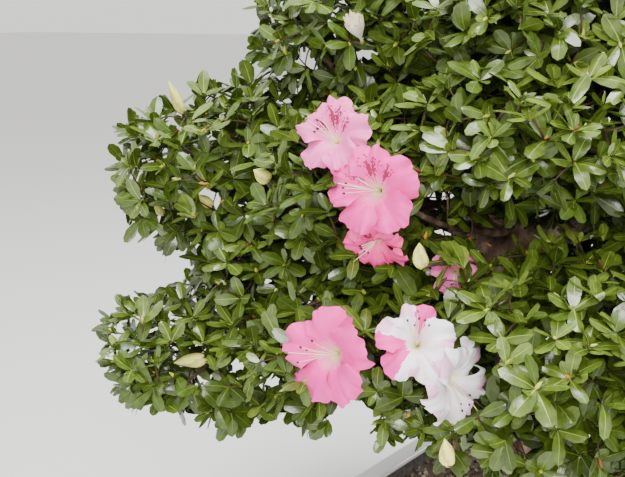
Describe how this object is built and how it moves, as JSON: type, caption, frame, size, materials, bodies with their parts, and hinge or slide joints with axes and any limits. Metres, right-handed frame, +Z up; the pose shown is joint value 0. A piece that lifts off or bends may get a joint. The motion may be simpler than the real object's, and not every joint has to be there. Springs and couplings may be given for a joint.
{
  "type": "potted azalea bonsai",
  "caption": "Old azalea trained as a bonsai: leaning flared trunk, tiered boughs, dense small-leaved crown with pink and white blossoms, in a shallow cream-glazed oblong pot.",
  "frame": {"origin": "under the middle of the pot, on the flat underside that it stands on", "axes": "+Z up the trunk from the underside; X along the pot's long side; Y along its short side, with -Y the side that the plant is mostly looked at from"},
  "size_m": [0.8138, 0.751, 0.7797],
  "materials": {
    "glazed_pot": "gloss",
    "soil": "matte",
    "bark": "matte",
    "foliage": "satin",
    "blossom": "matte"
  },
  "bodies": {
    "root": {"pot": "glazed_pot", "soil": "soil", "trunk": "bark", "bough_low_left": "bark", "bough_low_front_left": "bark", "bough_low_front": "bark", "bough_low_right": "bark", "bough_low_back_right": "bark", "bough_low_back": "bark", "bough_low_back_left": "bark", "bough_mid_left": "bark", "bough_mid_front_left": "bark", "bough_mid_front": "bark", "bough_mid_right": "bark", "bough_mid_back_right": "bark", "bough_mid_back": "bark", "bough_mid_back_left": "bark", "bough_high_left": "bark", "bough_high_front": "bark", "bough_high_right": "bark", "bough_high_back_right": "bark", "bough_high_back": "bark", "bough_inner_left": "bark", "foliage_low_left": "foliage", "foliage_low_front_left": "foliage", "foliage_low_front": "foliage", "foliage_low_right": "foliage", "foliage_low_back_right": "foliage", "foliage_low_back": "foliage", "foliage_low_back_left": "foliage", "foliage_mid_left": "foliage", "foliage_mid_front_left": "foliage", "foliage_mid_front": "foliage", "foliage_mid_right": "foliage", "foliage_mid_back_right": "foliage", "foliage_mid_back": "foliage", "foliage_mid_back_left": "foliage", "foliage_high_left": "foliage", "foliage_high_front": "foliage", "foliage_high_right": "foliage", "foliage_high_back_right": "foliage", "foliage_high_back": "foliage", "foliage_crown_top": "foliage", "foliage_inner_left": "foliage"}
  },
  "joints": []
}
